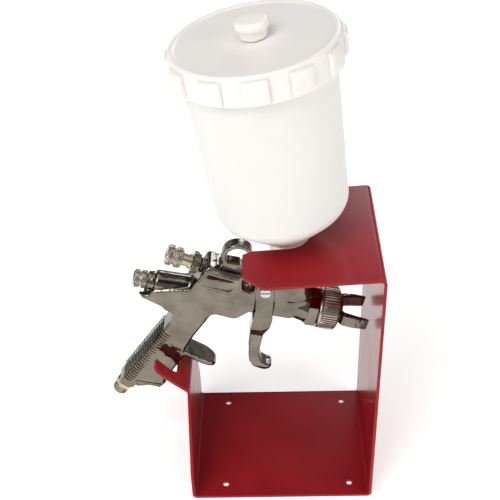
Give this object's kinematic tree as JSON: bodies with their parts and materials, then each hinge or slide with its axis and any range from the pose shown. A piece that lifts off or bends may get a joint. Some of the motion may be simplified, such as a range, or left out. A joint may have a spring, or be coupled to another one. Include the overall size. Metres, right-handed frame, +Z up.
{
  "type": "spray gun bench stand with gun",
  "caption": "Bent sheet steel bench stand holding a gravity-feed spray gun by its neck and handle, with a screw-top paint cup.",
  "frame": {"origin": "middle of the underside of the stand's base", "axes": "+X towards the gun's nozzle and the tall upright, +Y away from the pivot screw's head, +Z up"},
  "size_m": [0.1842, 0.1042, 0.3429],
  "materials": {
    "red": "gloss powder coat",
    "chrome": "polished plate",
    "steel": "bright",
    "brass": "nickelled",
    "milky": "translucent milky polypropylene",
    "plastic": "white",
    "seal": "matt black"
  },
  "bodies": {
    "stand": {"stand_frame": "red"},
    "gun": {"gun_body": "chrome", "air_inlet": "chrome", "inlet_washer": "seal", "trigger_pin": "steel", "trigger_nut": "steel", "fluid_nozzle": "brass", "air_baffle": "brass", "needle_packing": "plastic", "packing_screw": "brass", "air_valve_seat": "brass", "air_valve_spring": "steel", "air_valve_guide": "brass", "needle_spring": "steel", "needle_sleeve": "chrome", "fan_gland": "chrome", "fan_seal": "seal"},
    "trigger": {"trigger": "chrome"},
    "needle": {"fluid_needle": "steel"},
    "air_valve": {"air_valve_stem": "brass"},
    "fluid_knob": {"fluid_knob": "chrome"},
    "fan_valve": {"fan_knob": "chrome", "fan_stem": "brass"},
    "cap_ring": {"cap_ring": "chrome"},
    "air_cap": {"air_cap": "chrome"},
    "cup": {"cup": "milky", "cup_strainer": "brass", "cup_gasket": "plastic"},
    "lid_seal": {"lid_gasket": "plastic"},
    "lid": {"lid": "milky"},
    "vent_cap": {"vent_cap": "milky"}
  },
  "joints": [
    {"name": "gun_lift_off", "type": "slide", "parent": "stand", "child": "gun", "axis": [-0.8192, 0, 0.5736], "range_m": [0, 0.15]},
    {"name": "trigger_pull", "type": "hinge", "parent": "gun", "child": "trigger", "pos_m": [-0.00871, 0, 0.15863], "axis": [0, 1, 0], "range_deg": [0, 12], "stiffness_Nm_per_rad": 2, "springref_deg": -8.59},
    {"name": "needle_draw", "type": "slide", "parent": "gun", "child": "needle", "axis": [-0.9763, 0, 0.2164], "range_m": [0, 0.0036], "deforming": ["needle_spring"]},
    {"name": "air_valve_draw", "type": "slide", "parent": "gun", "child": "air_valve", "axis": [-0.9763, 0, 0.2164], "range_m": [0, 0.0036], "deforming": ["air_valve_spring"]},
    {"name": "fluid_knob_turn", "type": "hinge", "parent": "gun", "child": "fluid_knob", "pos_m": [-0.08702, 0, 0.16114], "axis": [-0.9763, 0, 0.2164], "range_deg": [0, 720]},
    {"name": "fan_valve_turn", "type": "hinge", "parent": "gun", "child": "fan_valve", "pos_m": [-0.04965, 0, 0.17262], "axis": [-0.9191, 0, 0.3939], "range_deg": [0, 720]},
    {"name": "cap_ring_turn", "type": "hinge", "parent": "gun", "child": "cap_ring", "pos_m": [0.03013, 0, 0.13517], "axis": [0.9763, 0, -0.2164], "range_deg": [0, 720]},
    {"name": "air_cap_turn", "type": "hinge", "parent": "gun", "child": "air_cap", "pos_m": [0.03502, 0, 0.13408], "axis": [0.9763, 0, -0.2164], "range_deg": [-90, 90]},
    {"name": "cup_turn", "type": "hinge", "parent": "gun", "child": "cup", "pos_m": [0.01383, 0, 0.13878], "axis": [-0.134, 0, 0.991], "range_deg": [0, 720]},
    {"name": "lid_lift", "type": "slide", "parent": "cup", "child": "lid_seal", "axis": [-0.134, 0, 0.991], "range_m": [0, 0.06]},
    {"name": "lid_turn", "type": "hinge", "parent": "lid_seal", "child": "lid", "pos_m": [0.01383, 0, 0.13878], "axis": [-0.134, 0, 0.991], "range_deg": [0, 360]},
    {"name": "vent_cap_pull", "type": "slide", "parent": "lid", "child": "vent_cap", "axis": [-0.134, 0, 0.991], "range_m": [0, 0.004]}
  ],
  "couplings": [
    {"joint": "needle_draw", "follows": "trigger_pull", "m_per_rad": 0.0166},
    {"joint": "air_valve_draw", "follows": "trigger_pull", "m_per_rad": 0.0166}
  ]
}
